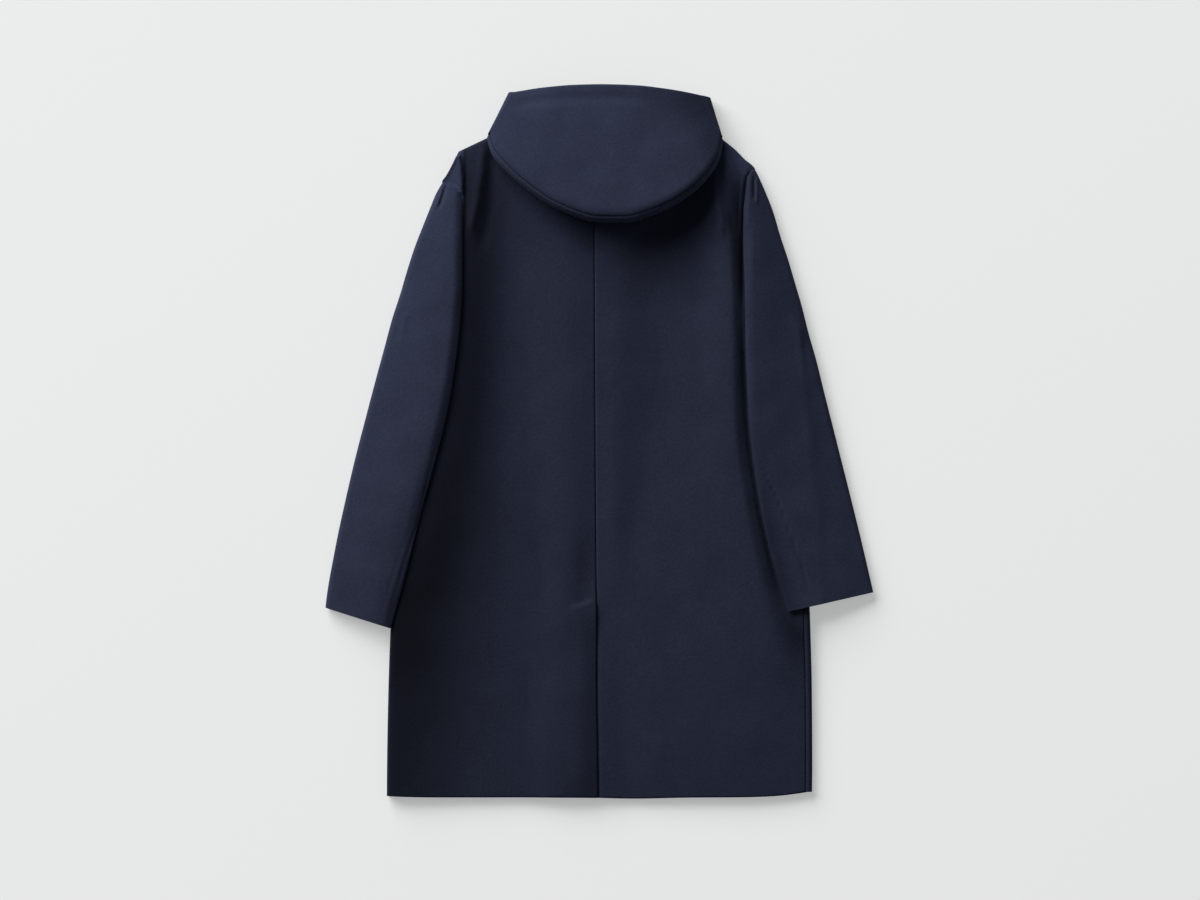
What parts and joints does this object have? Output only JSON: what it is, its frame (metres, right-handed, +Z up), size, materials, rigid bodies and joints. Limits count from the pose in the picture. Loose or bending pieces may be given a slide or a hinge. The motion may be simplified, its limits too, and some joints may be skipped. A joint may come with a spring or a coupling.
{
  "type": "hooded wool coat",
  "caption": "Hooded knee-length wool coat lying flat on its front with its back uppermost, plain sleeves down its sides, a centre-back vent and the hood spread above the shoulders.",
  "frame": {"origin": "centre of the coat's outline, on the surface it lies on", "axes": "+X to the right when looking down at the coat's back, +Y from the hem to the hood, +Z up from the surface"},
  "size_m": [0.8038, 1.048, 0.0415],
  "materials": {
    "wool": "felted, matt, midnight blue"
  },
  "bodies": {
    "root": {"front_left": "wool", "front_right": "wool", "back_left": "wool", "back_right": "wool", "sleeve_left": "wool", "sleeve_right": "wool", "hood_back": "wool", "hood_front": "wool"}
  },
  "joints": []
}
